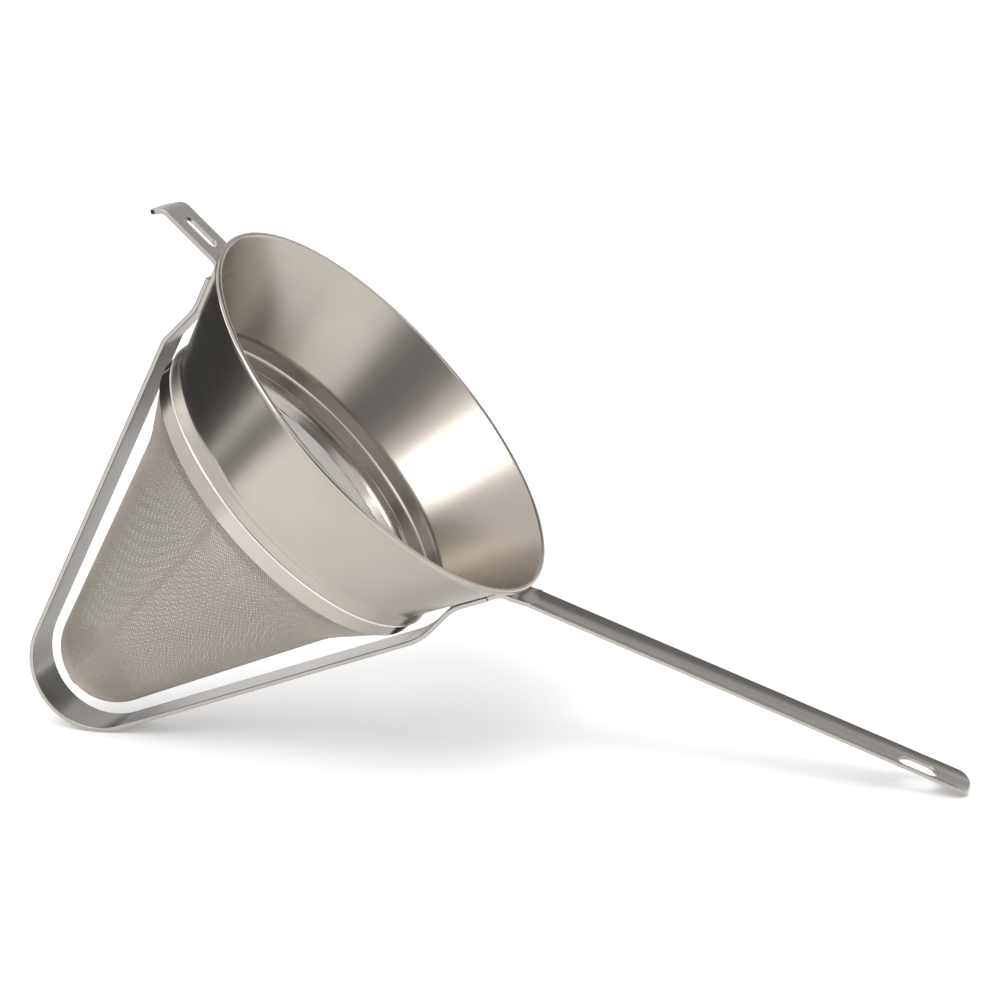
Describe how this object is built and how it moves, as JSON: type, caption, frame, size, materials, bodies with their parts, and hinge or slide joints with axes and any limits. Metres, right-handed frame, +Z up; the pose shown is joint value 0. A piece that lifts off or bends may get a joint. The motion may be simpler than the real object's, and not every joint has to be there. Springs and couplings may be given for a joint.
{
  "type": "conical strainer",
  "caption": "Conical fine mesh strainer with a flared sheet collar, a strip guard round its tip, a long dished handle with a hanging slot and a slotted pot hook, lying at rest.",
  "frame": {"origin": "on the table, under the middle of the strainer's bounding box as it lies on its guard and its handle's end", "axes": "+X from the guard's tip to the handle's end, +Y across the mouth, +Z up"},
  "size_m": [0.4282, 0.2, 0.2429],
  "materials": {
    "satin_sheet": "satin stainless sheet, finely brushed round the hoop",
    "polished_ring": "polished stainless hoop",
    "woven_mesh": "woven stainless wire cloth",
    "strip": "satin stainless strip, brushed along its length",
    "weld": "ground plug weld, slightly darkened"
  },
  "bodies": {
    "root": {"collar": "satin_sheet", "rim_wire": "satin_sheet", "outer_ring": "polished_ring", "inner_ring": "polished_ring", "mesh_cone": "woven_mesh", "guard_bow": "strip", "handle": "strip", "hook": "strip", "guard_welds": "weld", "handle_welds": "weld", "hook_welds": "weld"}
  },
  "joints": []
}
